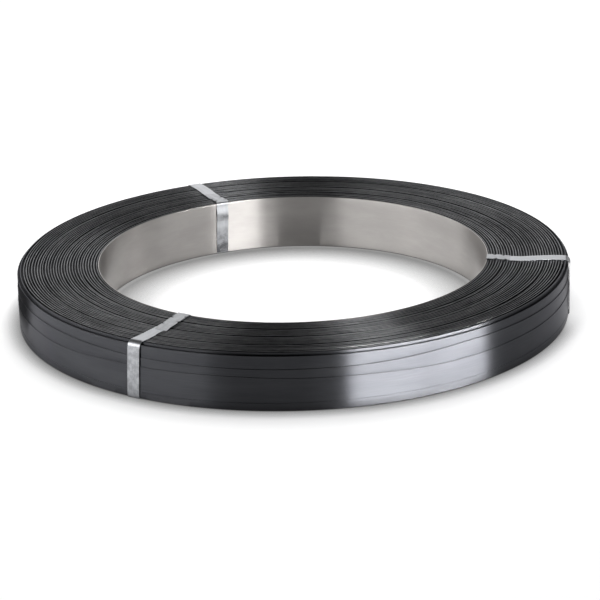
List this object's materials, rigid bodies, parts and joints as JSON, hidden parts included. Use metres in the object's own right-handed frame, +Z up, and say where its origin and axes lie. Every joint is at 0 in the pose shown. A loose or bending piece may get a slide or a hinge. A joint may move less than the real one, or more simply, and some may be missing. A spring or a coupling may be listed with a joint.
{
  "type": "steel strapping coil",
  "caption": "Flat-lying coil of steel strapping with an open bore, held by flat steel ties round its section, for feeding a strapping dispenser.",
  "frame": {"origin": "on the axis of the bore, in the plane of the floor that the coil lies on", "axes": "+Z up along the bore; the coil is seen from -Y, with +X to the right"},
  "size_m": [0.5788, 0.578, 0.0596],
  "materials": {
    "strap": "dark blued and waxed, semi-gloss",
    "tie": "galvanised, satin"
  },
  "bodies": {
    "root": {"strap_coil": "strap", "tie_band_front": "tie", "tie_band_right": "tie", "tie_band_back": "tie"}
  },
  "joints": []
}
